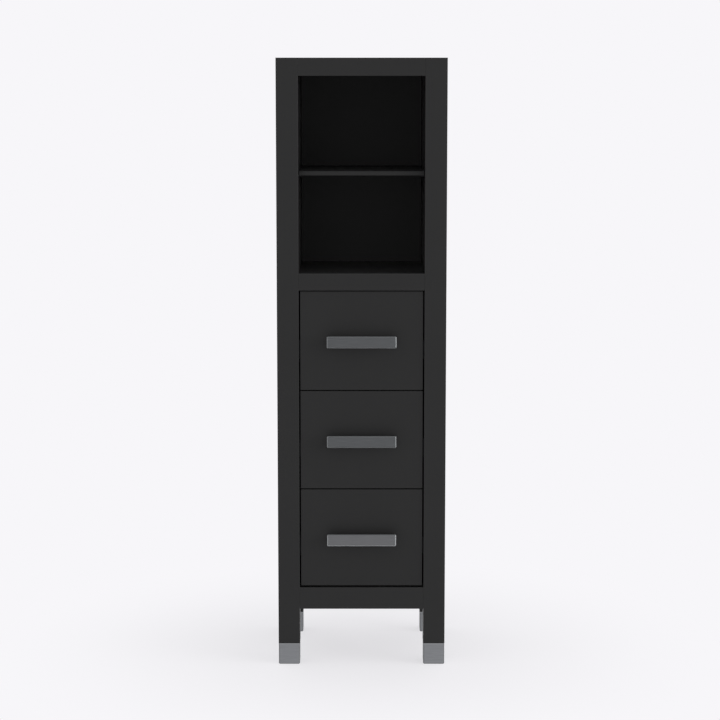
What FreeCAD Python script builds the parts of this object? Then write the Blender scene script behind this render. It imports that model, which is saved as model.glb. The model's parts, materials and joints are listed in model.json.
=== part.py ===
import FreeCAD, Part
import os

import Sketcher

# A tall narrow cabinet on four metal-shod legs: an open upper part with one
# shelf, and three inset drawers on ball-bearing runners.
# The frame has +X to the right and +Z up. The front looks along -Y.
# The origin is on the floor, in the middle of the whole object's outline.

Vector = FreeCAD.Vector
doc = FreeCAD.newDocument("tall_cabinet")

# Driving dimensions, in millimetres
sizes = {
    "cabinet_wide": 400.0,
    "cabinet_deep": 343.0,
    "cabinet_tall": 1450.0,
    "post_side": 51.5,
    "post_round": 1.0,
    # Metal feet, each a cup that a post's spigot stands in
    "foot_tall": 51.5,
    "foot_inset": 0.3,
    "foot_wall": 2.0,
    "foot_floor_land": 1.7,
    "foot_play": 0.25,
    "foot_round": 3.0,
    # Rails and their tenons
    "leg_clear": 137.0,
    "top_rail_tall": 41.5,
    "middle_rail_tall": 39.8,
    "bottom_rail_tall": 52.5,
    "side_rail_tall": 52.5,
    "wall_rail_tall": 70.0,
    "rail_thick": 20.0,
    "rear_rail_thick": 14.0,
    "rail_round": 0.8,
    "tenon_long": 20.0,
    "tenon_thick": 8.0,
    "tenon_land": 2.0,
    "joint_play": 0.15,
    # Boards and panels
    "board_thick": 18.0,
    "liner_thick": 18.0,
    "panel_thick": 9.0,
    "panel_inset": 6.0,
    "back_thick": 6.0,
    "groove_deep": 8.0,
    "wall_hole_radius": 2.75,
    "wall_hole_span": 200.0,
    "wall_hole_drop": 18.0,
    # The loose shelf and its pins
    "shelf_thick": 10.5,
    "shelf_setback": 30.0,
    "shelf_side_gap": 1.5,
    "shelf_back_gap": 3.0,
    "shelf_round": 1.0,
    "pin_radius": 2.5,
    "pin_play": 0.1,
    "pin_sunk": 10.0,
    "pin_reach": 8.0,
    "pin_collar_radius": 4.0,
    "pin_inset": 30.0,
    # Drawer fronts
    "front_tall": 235.6,
    "front_thick": 16.0,
    "front_recess": 4.0,
    "front_gap": 3.0,
    "front_under": 4.2,
    "front_between": 2.2,
    "front_round": 0.8,
    # Drawer boxes
    "box_thick": 12.0,
    "box_rise": 20.0,
    "box_drop": 36.0,
    "box_short": 5.0,
    "base_thick": 6.0,
    "base_rise": 12.0,
    "base_groove": 6.0,
    # Pulls
    "pull_long": 164.0,
    "pull_tall": 28.0,
    "pull_thick": 8.0,
    "pull_stand": 32.0,
    "pull_round": 2.6,
    "pull_post_inset": 18.0,
    "pull_post_radius": 6.0,
    # Screws
    "screw_play": 0.1,
    "foot_screw_radius": 2.0,
    "foot_screw_head_radius": 4.0,
    "foot_screw_head_tall": 2.2,
    "foot_screw_long": 32.0,
    "pull_screw_radius": 2.0,
    "pull_screw_head_radius": 4.5,
    "pull_screw_head_tall": 2.6,
    "pull_screw_bite": 12.0,
    "front_screw_radius": 1.8,
    "front_screw_head_radius": 3.6,
    "front_screw_head_tall": 2.2,
    "front_screw_bite": 11.0,
    "front_screw_inset": 30.0,
    # Runners
    "runner_wide": 12.7,
    "runner_tall": 45.0,
    "runner_rise": 75.0,
    "runner_setback": 2.0,
    "runner_end_gap": 1.0,
    "runner_sheet": 1.2,
    "runner_lip": 2.0,
    "runner_nest_gap": 0.7,
    "ball_radius": 2.15,
    "ball_play": 0.1,
    "cage_thick": 0.8,
    "cage_gap": 0.8,
    "cage_inset": 12.0,
}

# Shares and counts
shelf_height_share = 0.482
foot_chamfer_share = 0.65
pull_chamfer_share = 0.8
drawer_names = ("bottom", "middle", "top")
drawer_count = len(drawer_names)
finger_count = 6
ball_count = 5

# Places and sizes that follow from the driving dimensions
places = {
    "inner_wide": "Size.cabinet_wide - 2 * Size.post_side",
    "inner_deep": "Size.cabinet_deep - 2 * Size.post_side",
    "reach": "Size.pull_stand - Size.front_recess",
    "front": "(reach - Size.cabinet_deep) / 2",
    "back": "front + Size.cabinet_deep",
    "back_panel": "back - Size.rear_rail_thick - Size.back_thick",
    "side_rail_thick": "Size.post_side - Size.liner_thick",
    "tenon_shoulder": "Size.groove_deep + Size.tenon_land",
    "foot_floor": "Size.foot_screw_head_tall + Size.screw_play + Size.foot_floor_land",
    "foot_chamfer": f"Size.foot_round * {foot_chamfer_share}",
    "spigot_inset": "Size.foot_inset + Size.foot_wall + Size.foot_play",
    "spigot_low": "foot_floor + Size.foot_play",
    "bottom_board_top": "Size.leg_clear + Size.bottom_rail_tall",
    "drawer_step": "Size.front_tall + Size.front_between",
    "drawer_stack": f"Size.front_under + {drawer_count} * drawer_step",
    "middle_rail_low": "bottom_board_top + drawer_stack",
    "divider_top": "middle_rail_low + Size.middle_rail_tall",
    "top_board_low": "Size.cabinet_tall - Size.board_thick",
    "top_rail_low": "Size.cabinet_tall - Size.top_rail_tall",
    "side_top_rail_low": "Size.cabinet_tall - Size.side_rail_tall",
    "side_bottom_rail_top": "Size.leg_clear + Size.side_rail_tall",
    "wall_rail_low": "Size.cabinet_tall - Size.wall_rail_tall",
    "wall_hole_up": "top_board_low - Size.wall_hole_drop",
    "board_deep": "Size.cabinet_deep - Size.rail_thick - Size.rear_rail_thick - Size.back_thick",
    "shelf_low": f"divider_top + (top_board_low - divider_top - Size.shelf_thick) * {shelf_height_share}",
    "pin_collar_thick": "Size.shelf_side_gap / 2",
    "front_wide": "inner_wide - 2 * Size.front_gap",
    "box_front": "front + Size.front_recess + Size.front_thick",
    "box_wide": "inner_wide - 2 * Size.runner_wide",
    "box_tall": "Size.front_tall - Size.box_rise - Size.box_drop",
    "runner_front": "box_front + Size.runner_setback",
    "runner_long": "back_panel - Size.runner_end_gap - runner_front",
    "box_deep": "runner_long - Size.box_short",
    "finger": f"box_tall / (2 * {finger_count})",
    "ball_lane": "2 * (Size.ball_radius + Size.ball_play)",
    "runner_half": "Size.runner_tall / 2",
    "outer_reach": "Size.runner_wide - 2 * Size.runner_sheet - Size.runner_nest_gap",
    "middle_half": "runner_half - Size.runner_sheet - ball_lane",
    "middle_web": "Size.runner_sheet + Size.runner_nest_gap",
    "middle_reach": "Size.runner_wide - Size.runner_sheet - Size.runner_nest_gap",
    "inner_half": "middle_half - Size.runner_sheet - ball_lane",
    "inner_reach": "Size.runner_wide - middle_web - Size.runner_sheet - Size.runner_nest_gap",
    "outer_lane": "runner_half - Size.runner_sheet - ball_lane / 2",
    "inner_lane": "middle_half - Size.runner_sheet - ball_lane / 2",
    "cage_wide": "outer_reach - 2 * Size.runner_sheet - 2 * Size.cage_gap",
    "cage_long": "runner_long / 2 - 2 * Size.cage_inset",
    "ball_pitch": f"cage_long / {ball_count}",
    "pull_span": "Size.pull_long - 2 * Size.pull_post_inset",
    "pull_up": "Size.front_tall / 2",
    "pull_chamfer": f"Size.pull_round * {pull_chamfer_share}",
    "front_screw_span": "box_wide - 2 * Size.front_screw_inset",
}


def new_sheet(name, cells):
    """A spreadsheet with one named cell to a row."""
    sheet = doc.addObject("Spreadsheet::Sheet", name)
    for row, (alias, text) in enumerate(cells.items(), 1):
        sheet.set(f"A{row}", alias)
        sheet.set(f"B{row}", str(text))
        sheet.setAlias(f"B{row}", alias)
    doc.recompute()
    return sheet


size_sheet = new_sheet("Size", sizes)
place_sheet = new_sheet("Place", {name: f"={text}" for name, text in places.items()})

tiny = 1e-6
nodes = {}


def number(text):
    """What an expression comes to."""
    return float(size_sheet.evalExpression(text))


def put(thing, x="0", y="0", z="0"):
    """Bind where a thing lies."""
    for letter, text in zip("xyz", (x, y, z)):
        thing.setExpression(f"Placement.Base.{letter}", text)


def turn(thing, axis, degrees):
    """Turn a thing about an axis through its own origin."""
    thing.Placement = FreeCAD.Placement(Vector(), FreeCAD.Rotation(Vector(*axis), degrees))


def new_body(label, x="0", y="0", z="0", degrees=0):
    """A body of its own, turned about the vertical, with its origin at a corner."""
    body = doc.addObject("PartDesign::Body", label)
    body.Label = label
    turn(body, (0, 0, 1), degrees)
    put(body, x, y, z)
    return body


def kept(piece):
    """Enter a piece among the sub-parts that are written out."""
    nodes[piece.Label] = piece
    return piece


def box(body, kind, name, at, spans):
    """A box in a body: Additive or Subtractive, from its lowest corner."""
    made = body.newObject(f"PartDesign::{kind}Box", name)
    for side, text in zip(("Length", "Width", "Height"), spans):
        made.setExpression(side, text)
    put(made, *at)
    return made


def add_box(body, name, at, spans):
    return box(body, "Additive", name, at, spans)


def cut_box(body, name, at, spans):
    return box(body, "Subtractive", name, at, spans)


def cut_hole(body, name, at, axis, radius, deep):
    """A round hole that starts at a point and runs along an axis."""
    hole = body.newObject("PartDesign::SubtractiveCylinder", name)
    turns = {"x": ((0, 1, 0), 90), "y": ((1, 0, 0), -90), "z": ((0, 0, 1), 0)}
    turn(hole, *turns[axis])
    put(hole, *at)
    hole.setExpression("Radius", radius)
    hole.setExpression("Height", deep)
    return hole


def origin_plane(body, role):
    """One of a body's own origin planes or axes."""
    return next(part for part in body.Origin.OriginFeatures if part.Role == role)


def outline(body, name, role, points):
    """A closed sketch through points that are each tied to the sheets."""
    sketch = body.newObject("Sketcher::SketchObject", name)
    sketch.AttachmentSupport = (origin_plane(body, role), [""])
    sketch.MapMode = "FlatFace"
    spots = [Vector(number(across), number(up), 0) for across, up in points]
    count = len(spots)
    for corner in range(count):
        sketch.addGeometry(Part.LineSegment(spots[corner], spots[(corner + 1) % count]), False)
    for corner in range(count):
        sketch.addConstraint(Sketcher.Constraint("Coincident", corner, 2, (corner + 1) % count, 1))
    for corner, texts in enumerate(points):
        for kind, line, text, start in zip(("DistanceX", "DistanceY"), (-2, -1), texts, spots[corner]):
            if text == "0":
                sketch.addConstraint(Sketcher.Constraint("PointOnObject", corner, 1, line))
            else:
                tie = sketch.addConstraint(Sketcher.Constraint(kind, -1, 1, corner, 1, start))
                sketch.setExpression(f"Constraints[{tie}]", text)
    return sketch


def pad(body, sketch, thick, backwards=False):
    """A sketch given its thickness."""
    made = body.newObject("PartDesign::Pad", "pad")
    made.Profile = sketch
    made.Reversed = backwards
    made.setExpression("Length", thick)
    return made


def lathe(label, points):
    """A turned piece about the vertical, from points of radius and height."""
    body = new_body(label)
    profile = outline(body, "profile", "XZ_Plane", points)
    turned = body.newObject("PartDesign::Revolution", "turned")
    turned.Profile = profile
    turned.ReferenceAxis = (profile, ["V_Axis"])
    turned.Angle = 360
    return body


def edge_names(shape, along="", low=""):
    """Straight edges that run along an axis, or lie where an axis reads zero."""
    names = []
    for count, edge in enumerate(shape.Edges, 1):
        bounds = edge.BoundBox
        spans = {"x": bounds.XLength, "y": bounds.YLength, "z": bounds.ZLength}
        ends = {
            "x": (bounds.XMin, bounds.XMax),
            "y": (bounds.YMin, bounds.YMax),
            "z": (bounds.ZMin, bounds.ZMax),
        }
        runs = not along or spans[along] > edge.Length - tiny
        lies = not low or max(abs(end) for end in ends[low]) < tiny
        if runs and lies:
            names.append(f"Edge{count}")
    return names


def soften(body, kind, blank, width, along="", low=""):
    """Fillet or Chamfer the edges of a blank that edge_names picks."""
    blank.recompute(True)
    softened = body.newObject(f"PartDesign::{kind}", kind.lower())
    softened.Base = (blank, edge_names(blank.Shape, along, low))
    softened.setExpression("Radius" if kind == "Fillet" else "Size", width)
    return softened


def repeat(body, originals, axis, step, count):
    """A row of like features along an axis of the body."""
    row = body.newObject("PartDesign::LinearPattern", "row")
    row.Originals = originals
    row.Direction = (origin_plane(body, f"{axis}_Axis"), [""])
    row.Mode = "Spacing"
    row.setExpression("Offset", step)
    row.Occurrences = count
    body.Tip = row
    return row


def copy_of(master, x, y, z, axis=(0, 0, 1), degrees=0):
    """One more of a piece that is made once, at a place of its own."""
    link = doc.addObject("App::Link", f"{master.Name}_copy")
    link.LinkedObject = master
    turn(link, axis, degrees)
    put(link, x, y, z)
    return link


def group(label, members):
    """A set of like pieces under one name, each still its own solid."""
    made = doc.addObject("Part::Compound", label)
    made.Label = label
    made.Links = members
    return made


# Rails
# Each is drawn as seen from outside the cabinet: X along it, Y into the wood.
# The faces are in order round the cabinet, a quarter turn from one to the next.
faces = {
    "front": ("-Place.inner_wide / 2", "Place.front"),
    "right": ("Size.cabinet_wide / 2", "Place.front + Size.post_side"),
    "back": ("Place.inner_wide / 2", "Place.back"),
    "left": ("-Size.cabinet_wide / 2", "Place.back - Size.post_side"),
}


def rail(label, face, low, tall, thick, long):
    """A rail with a tenon on each end and its two show edges eased."""
    quarter = 360 / len(faces)
    body = new_body(label, *faces[face], low, quarter * list(faces).index(face))
    blank = add_box(body, "blank", ("0", "0", "0"), (long, thick, tall))
    soften(body, "Fillet", blank, "Size.rail_round", along="x", low="y")
    for end, start in (("left", "-Size.tenon_long"), ("right", long)):
        add_box(
            body,
            f"{end}_tenon",
            (start, f"({thick} - Size.tenon_thick) / 2", "Place.tenon_shoulder"),
            ("Size.tenon_long", "Size.tenon_thick", f"{tall} - 2 * Place.tenon_shoulder"),
        )
    return kept(body)


front_rails = {
    "top_rail": ("Place.top_rail_low", "Size.top_rail_tall"),
    "middle_rail": ("Place.middle_rail_low", "Size.middle_rail_tall"),
    "bottom_rail": ("Size.leg_clear", "Size.bottom_rail_tall"),
}
side_rails = {
    "side_top_rail": ("Place.side_top_rail_low", "Size.side_rail_tall"),
    "side_bottom_rail": ("Size.leg_clear", "Size.side_rail_tall"),
}
rear_rails = {
    "wall_rail": ("Place.wall_rail_low", "Size.wall_rail_tall"),
    "rear_bottom_rail": ("Size.leg_clear", "Size.bottom_rail_tall"),
}

for label, (low, tall) in front_rails.items():
    rail(label, "front", low, tall, "Size.rail_thick", "Place.inner_wide")

for label, (low, tall) in rear_rails.items():
    rail(label, "back", low, tall, "Size.rear_rail_thick", "Place.inner_wide")

for hand in ("left", "right"):
    for label, (low, tall) in side_rails.items():
        made = rail(f"{hand}_{label}", hand, low, tall, "Place.side_rail_thick", "Place.inner_deep")
        groove_low = f"{tall} - Size.groove_deep" if "bottom" in label else "0"
        cut_box(
            made,
            "panel_groove",
            ("0", "Size.panel_inset - Size.joint_play", groove_low),
            ("Place.inner_deep", "Size.panel_thick + 2 * Size.joint_play", "Size.groove_deep"),
        )


def wall_holes(body, centre, low, thick):
    """Two screw holes through a rear piece, for fixing to a wall."""
    for sign in ("-", "+"):
        spot = (f"{centre} {sign} Size.wall_hole_span / 2", "0", f"Place.wall_hole_up - {low}")
        cut_hole(body, "wall_hole", spot, "y", "Size.wall_hole_radius", thick)


wall_holes(nodes["wall_rail"], "Place.inner_wide / 2", "Place.wall_rail_low", "Size.rear_rail_thick")

# Posts
# Cuts are placed from a post's two outer faces, and flipped for each corner.


def post_spot(hand, end, inset="0"):
    """The lowest corner of what stands on a post's plan, less an inset."""
    x = "-Size.cabinet_wide / 2" if hand == "left" else "Size.cabinet_wide / 2 - Size.post_side"
    y = "Place.front" if end == "front" else "Place.back - Size.post_side"
    return f"{x} + {inset}", f"{y} + {inset}"


def post_cut(body, name, hand, end, across, into, low, spans):
    """A cut in a post, measured inwards from its side and its end face."""
    wide, deep, tall = spans
    x = across if hand == "left" else f"Size.post_side - ({across}) - ({wide})"
    y = into if end == "front" else f"Size.post_side - ({into}) - ({deep})"
    return cut_box(body, name, (x, y, f"{low} - Size.foot_tall"), (wide, deep, tall))


def mortise(body, hand, end, low, tall, thick, sideways):
    """The hole for one rail's tenon, with play all round."""
    reach = "(Size.tenon_long + Size.joint_play)"
    width = "Size.tenon_thick + 2 * Size.joint_play"
    height = f"{tall} - 2 * Place.tenon_shoulder + 2 * Size.joint_play"
    start = f"Size.post_side - {reach}"
    offset = f"({thick} - Size.tenon_thick) / 2 - Size.joint_play"
    hole_low = f"{low} + Place.tenon_shoulder - Size.joint_play"
    if sideways:
        post_cut(body, "mortise", hand, end, offset, start, hole_low, (width, reach, height))
    else:
        post_cut(body, "mortise", hand, end, start, offset, hole_low, (reach, width, height))


def post(hand, end):
    """A post with its spigot, mortises and panel grooves."""
    body = new_body(f"{end}_{hand}_post", *post_spot(hand, end), "Size.foot_tall")
    post_spans = ("Size.post_side", "Size.post_side", "Size.cabinet_tall - Size.foot_tall")
    blank = add_box(body, "blank", ("0", "0", "0"), post_spans)
    soften(body, "Fillet", blank, "Size.post_round", along="z")
    spigot_side = "Size.post_side - 2 * Place.spigot_inset"
    add_box(
        body,
        "spigot",
        ("Place.spigot_inset", "Place.spigot_inset", "Place.spigot_low - Size.foot_tall"),
        (spigot_side, spigot_side, "Size.foot_tall - Place.spigot_low"),
    )
    cut_hole(
        body,
        "screw_hole",
        ("Size.post_side / 2", "Size.post_side / 2", "Place.spigot_low - Size.foot_tall"),
        "z",
        "Size.foot_screw_radius + Size.screw_play",
        "Size.foot_screw_long",
    )
    end_rails = front_rails if end == "front" else rear_rails
    thick = "Size.rail_thick" if end == "front" else "Size.rear_rail_thick"
    for low, tall in end_rails.values():
        mortise(body, hand, end, low, tall, thick, sideways=False)
    for low, tall in side_rails.values():
        mortise(body, hand, end, low, tall, "Place.side_rail_thick", sideways=True)
    post_cut(
        body,
        "side_panel_groove",
        hand,
        end,
        "Size.panel_inset - Size.joint_play",
        "Size.post_side - Size.groove_deep",
        "Place.side_bottom_rail_top - Size.groove_deep",
        (
            "Size.panel_thick + 2 * Size.joint_play",
            "Size.groove_deep",
            "Place.side_top_rail_low - Place.side_bottom_rail_top + 2 * Size.groove_deep",
        ),
    )
    if end == "back":
        post_cut(
            body,
            "back_panel_groove",
            hand,
            end,
            "Size.post_side - Size.groove_deep",
            "Size.rear_rail_thick",
            "Size.leg_clear",
            (
                "Size.groove_deep",
                "Size.back_thick + Size.joint_play",
                "Place.top_board_low - Size.leg_clear",
            ),
        )
    return kept(body)


def foot(hand, end):
    """A square metal cup, open at the top, with a sunk hole for its screw."""
    body = new_body(f"{end}_{hand}_foot", *post_spot(hand, end, "Size.foot_inset"))
    side = "Size.post_side - 2 * Size.foot_inset"
    cavity = f"{side} - 2 * Size.foot_wall"
    middle = f"({side}) / 2"
    plan = outline(body, "plan", "XY_Plane", [("0", "0"), (side, "0"), (side, side), ("0", side)])
    blank = pad(body, plan, "Size.foot_tall")
    rounded = soften(body, "Fillet", blank, "Size.foot_round", along="z")
    soften(body, "Chamfer", rounded, "Place.foot_chamfer", low="z")
    cup_low = ("Size.foot_wall", "Size.foot_wall", "Place.foot_floor")
    cut_box(body, "cup", cup_low, (cavity, cavity, "Size.foot_tall - Place.foot_floor"))
    cut_hole(body, "screw_hole", (middle, middle, "0"), "z",
             "Size.foot_screw_radius + Size.screw_play", "Place.foot_floor")
    cut_hole(body, "head_recess", (middle, middle, "0"), "z",
             "Size.foot_screw_head_radius + Size.screw_play", "Size.foot_screw_head_tall + Size.screw_play")
    return kept(body)


def screw(label, name, long):
    """A cap-headed screw that stands on its head, with its shank upwards."""
    head, radius, tall = f"Size.{name}_head_radius", f"Size.{name}_radius", f"Size.{name}_head_tall"
    top = f"{tall} + {long}"
    return lathe(label, [("0", "0"), (head, "0"), (head, tall), (radius, tall), (radius, top), ("0", top)])


foot_screw = screw("foot_screw", "foot_screw", "Size.foot_screw_long - Size.foot_screw_head_tall")
foot_screws = []
for end in ("front", "back"):
    for hand in ("left", "right"):
        post(hand, end)
        foot(hand, end)
        x, y = post_spot(hand, end, "Size.post_side / 2")
        foot_screws.append(copy_of(foot_screw, x, y, "Size.screw_play"))
kept(group("foot_screws", foot_screws))

# Side panels, liners and the back
for hand in ("left", "right"):
    panel_x = "-Size.cabinet_wide / 2 + Size.panel_inset"
    if hand == "right":
        panel_x = "Size.cabinet_wide / 2 - Size.panel_inset - Size.panel_thick"
    tongue = "(Size.groove_deep - Size.joint_play)"
    panel = kept(new_body(
        f"{hand}_side_panel",
        panel_x,
        f"Place.front + Size.post_side - {tongue}",
        f"Place.side_bottom_rail_top - {tongue}",
    ))
    add_box(panel, "board", ("0", "0", "0"), (
        "Size.panel_thick",
        f"Place.inner_deep + 2 * {tongue}",
        f"Place.side_top_rail_low - Place.side_bottom_rail_top + 2 * {tongue}",
    ))

    liner_x = "-Place.inner_wide / 2 - Size.liner_thick" if hand == "left" else "Place.inner_wide / 2"
    liner = kept(new_body(f"{hand}_liner", liner_x, "Place.front + Size.post_side", "Size.leg_clear"))
    add_box(liner, "board", ("0", "0", "0"),
            ("Size.liner_thick", "Place.inner_deep", "Place.top_board_low - Size.leg_clear"))
    hole_x = "Size.liner_thick - Size.pin_sunk - Size.pin_play" if hand == "left" else "0"
    for y in ("Size.pin_inset", "Place.inner_deep - Size.pin_inset"):
        cut_hole(liner, "pin_hole", (hole_x, y, "Place.shelf_low - Size.leg_clear - Size.pin_radius"), "x",
                 "Size.pin_radius + Size.pin_play", "Size.pin_sunk + Size.pin_play")

back = kept(new_body(
    "back_panel",
    "-Place.inner_wide / 2 - Size.groove_deep + Size.joint_play",
    "Place.back_panel",
    "Size.leg_clear",
))
back_wide = "Place.inner_wide + 2 * (Size.groove_deep - Size.joint_play)"
back_tall = "Place.top_board_low - Size.leg_clear"
add_box(back, "board", ("0", "0", "0"), (back_wide, "Size.back_thick", back_tall))
wall_holes(back, f"({back_wide}) / 2", "Size.leg_clear", "Size.back_thick")

# Boards that lie flat
for label, top in (("divider", "Place.divider_top"), ("bottom_board", "Place.bottom_board_top")):
    low = f"{top} - Size.board_thick"
    board = kept(new_body(label, "-Place.inner_wide / 2", "Place.front + Size.rail_thick", low))
    add_box(board, "board", ("0", "0", "0"), ("Place.inner_wide", "Place.board_deep", "Size.board_thick"))

# The top board covers the liners and is notched round the posts
top_wide = "Place.inner_wide + 2 * Size.liner_thick"
notch = "Size.liner_thick"
far = f"{top_wide} - {notch}"
front_notch = "Size.post_side - Size.rail_thick"
rear_notch = "Size.cabinet_deep - Size.post_side - Size.rail_thick"
top_deep = "Place.board_deep + Size.back_thick"
top_points = [
    (notch, "0"), (far, "0"), (far, front_notch), (top_wide, front_notch),
    (top_wide, rear_notch), (far, rear_notch), (far, top_deep), (notch, top_deep),
    (notch, rear_notch), ("0", rear_notch), ("0", front_notch), (notch, front_notch),
]
top_spot = (f"-({top_wide}) / 2", "Place.front + Size.rail_thick", "Place.top_board_low")
top_board = kept(new_body("top_board", *top_spot))
pad(top_board, outline(top_board, "plan", "XY_Plane", top_points), "Size.board_thick")

# The shelf and the pins that it rests on
shelf = kept(new_body(
    "shelf",
    "-Place.inner_wide / 2 + Size.shelf_side_gap",
    "Place.front + Size.shelf_setback",
    "Place.shelf_low",
))
shelf_blank = add_box(shelf, "board", ("0", "0", "0"), (
    "Place.inner_wide - 2 * Size.shelf_side_gap",
    "Place.back_panel - Place.front - Size.shelf_setback - Size.shelf_back_gap",
    "Size.shelf_thick",
))
soften(shelf, "Fillet", shelf_blank, "Size.shelf_round", along="x", low="y")

pin_top = "Size.pin_sunk + Size.pin_reach"
collar_top = "Size.pin_sunk + Place.pin_collar_thick"
shelf_pin = lathe("shelf_pin", [
    ("0", "0"), ("Size.pin_radius", "0"), ("Size.pin_radius", "Size.pin_sunk"),
    ("Size.pin_collar_radius", "Size.pin_sunk"), ("Size.pin_collar_radius", collar_top),
    ("Size.pin_radius", collar_top), ("Size.pin_radius", pin_top), ("0", pin_top),
])
pins = []
pin_far = "(Size.post_side + Size.pin_inset)"
for sign, degrees in (("-", 90), ("+", -90)):
    for y in (f"Place.front + {pin_far}", f"Place.back - {pin_far}"):
        x = f"{sign}(Place.inner_wide / 2 + Size.pin_sunk)"
        pins.append(copy_of(shelf_pin, x, y, "Place.shelf_low - Size.pin_radius", (0, 1, 0), degrees))
kept(group("shelf_pins", pins))

# Runners
# Each section is drawn as it sits on the left wall: X from the wall to the drawer.
# The piece on the right wall is the same one, turned over.


def channel(label, web, inside, reach, half, lipped=False):
    """A folded channel: its web, a flange above and below, and lips if it has them."""
    body = new_body(label)
    inner = f"{half} - Size.runner_sheet"
    below = [(web, f"-({half})"), (reach, f"-({half})")]
    if lipped:
        tip = f"{inner} - Size.runner_lip"
        fold = f"{reach} - Size.runner_sheet"
        below += [(reach, f"-({tip})"), (fold, f"-({tip})"), (fold, f"-({inner})")]
    else:
        below += [(reach, f"-({inner})")]
    below += [(inside, f"-({inner})")]
    above = [(x, z[1:]) for x, z in reversed(below)]
    pad(body, outline(body, "section", "XZ_Plane", below + above), "Place.runner_long", backwards=True)
    return body


outer_runner = channel(
    "outer_runner", "0", "Size.runner_sheet", "Place.outer_reach", "Place.runner_half", lipped=True
)
middle_runner = channel(
    "middle_runner",
    "Place.middle_web",
    "Place.middle_web + Size.runner_sheet",
    "Place.middle_reach",
    "Place.middle_half",
)
inner_runner = channel(
    "inner_runner",
    "Size.runner_wide",
    "Size.runner_wide - Size.runner_sheet",
    "Size.runner_wide - Place.inner_reach",
    "Place.inner_half",
)

ball_cage = new_body("ball_cage")
add_box(
    ball_cage,
    "strip",
    ("-Place.cage_wide / 2", "0", "-Size.cage_thick / 2"),
    ("Place.cage_wide", "Place.cage_long", "Size.cage_thick"),
)
ball = ball_cage.newObject("PartDesign::AdditiveSphere", "ball")
ball.setExpression("Radius", "Size.ball_radius")
put(ball, y="Place.ball_pitch / 2")
repeat(ball_cage, [ball], "Y", "Place.ball_pitch", ball_count)

# The outer balls run at the rear of the middle piece, the inner ones at its front,
# so both stay between their channels when the drawer is out.
outer_ball_x = "Place.outer_reach / 2"
inner_ball_x = "(Place.middle_reach + Size.runner_wide - Place.inner_reach) / 2"
cage_rows = [
    (outer_ball_x, "Place.runner_long - Size.cage_inset - Place.cage_long", "Place.outer_lane"),
    (inner_ball_x, "Size.cage_inset", "Place.inner_lane"),
]
middle_set = group("middle_set", [middle_runner] + [
    copy_of(ball_cage, x, y, f"{sign}{z}") for x, y, z in cage_rows for sign in ("-", "+")
])

walls = {"left": "-Place.inner_wide / 2", "right": "Place.inner_wide / 2"}


def on_wall(master, hand, centre):
    """A runner piece at its height on the left wall, or turned over on the right one."""
    degrees = 180 if hand == "right" else 0
    return copy_of(master, walls[hand], "Place.runner_front", centre, (0, 1, 0), degrees)


# Drawers
drawer_lows = {
    name: f"(Place.bottom_board_top + Size.front_under + {rank} * Place.drawer_step)"
    for rank, name in enumerate(drawer_names)
}
runner_centres = {name: f"{low} + Size.box_rise + Size.runner_rise" for name, low in drawer_lows.items()}

for hand in walls:
    members = [on_wall(outer_runner, hand, centre) for centre in runner_centres.values()]
    kept(group(f"{hand}_outer_runners", members))

pull_screw_long = "Size.box_thick + Size.front_thick + Size.pull_screw_bite"
pull_screw = screw("pull_screw", "pull_screw", pull_screw_long)
front_screw = screw("front_screw", "front_screw", "Size.box_thick + Size.front_screw_bite")


def screw_holes(body, centre, up, deep, bite):
    """Holes along Y for a drawer's pull screws and its front's own screws."""
    z = f"Place.pull_up - {up}"
    for sign in ("-", "+"):
        pull_spot = (f"{centre} {sign} Place.pull_span / 2", "0", z)
        cut_hole(body, "pull_hole", pull_spot, "y", "Size.pull_screw_radius + Size.screw_play", deep)
        front_spot = (f"{centre} {sign} Place.front_screw_span / 2", f"{deep} - ({bite})", z)
        cut_hole(body, "front_hole", front_spot, "y", "Size.front_screw_radius + Size.screw_play", bite)


def drawer_front(name, low):
    body = new_body(f"{name}_drawer_front", "-Place.front_wide / 2", "Place.front + Size.front_recess", low)
    spans = ("Place.front_wide", "Size.front_thick", "Size.front_tall")
    blank = add_box(body, "board", ("0", "0", "0"), spans)
    soften(body, "Fillet", blank, "Size.front_round", low="y")
    bite = "Size.front_screw_bite + Size.screw_play"
    screw_holes(body, "Place.front_wide / 2", "0", "Size.front_thick", bite)
    return kept(body)


def fingers(body, spots, first):
    """Slots for finger joints, one row up each corner of a box board."""
    spans = ("Size.box_thick", "Size.box_thick", "Place.finger")
    slots = [cut_box(body, "slot", (x, y, first), spans) for x, y in spots]
    repeat(body, slots, "Z", "2 * Place.finger", finger_count)


def base_groove(body, at, along, long):
    """The groove that holds the drawer's base, stopped short of both ends."""
    x, y = at
    deep = "Size.base_groove"
    wide, span = (long, deep) if along == "x" else (deep, long)
    cut_box(body, "groove", (x, y, "Size.base_rise - Size.joint_play"),
            (wide, span, "Size.base_thick + 2 * Size.joint_play"))


def box_side(name, hand, low):
    """A side board of the box, with fingers at both ends."""
    x = "-Place.box_wide / 2" if hand == "left" else "Place.box_wide / 2 - Size.box_thick"
    body = new_body(f"{name}_drawer_{hand}_side", x, "Place.box_front", f"{low} + Size.box_rise")
    add_box(body, "board", ("0", "0", "0"), ("Size.box_thick", "Place.box_deep", "Place.box_tall"))
    groove_x = "Size.box_thick - Size.base_groove" if hand == "left" else "0"
    land = "Size.box_thick - Size.base_groove"
    base_groove(body, (groove_x, land), "y", f"Place.box_deep - 2 * ({land})")
    fingers(body, (("0", "0"), ("0", "Place.box_deep - Size.box_thick")), "Place.finger")
    return kept(body)


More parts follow.
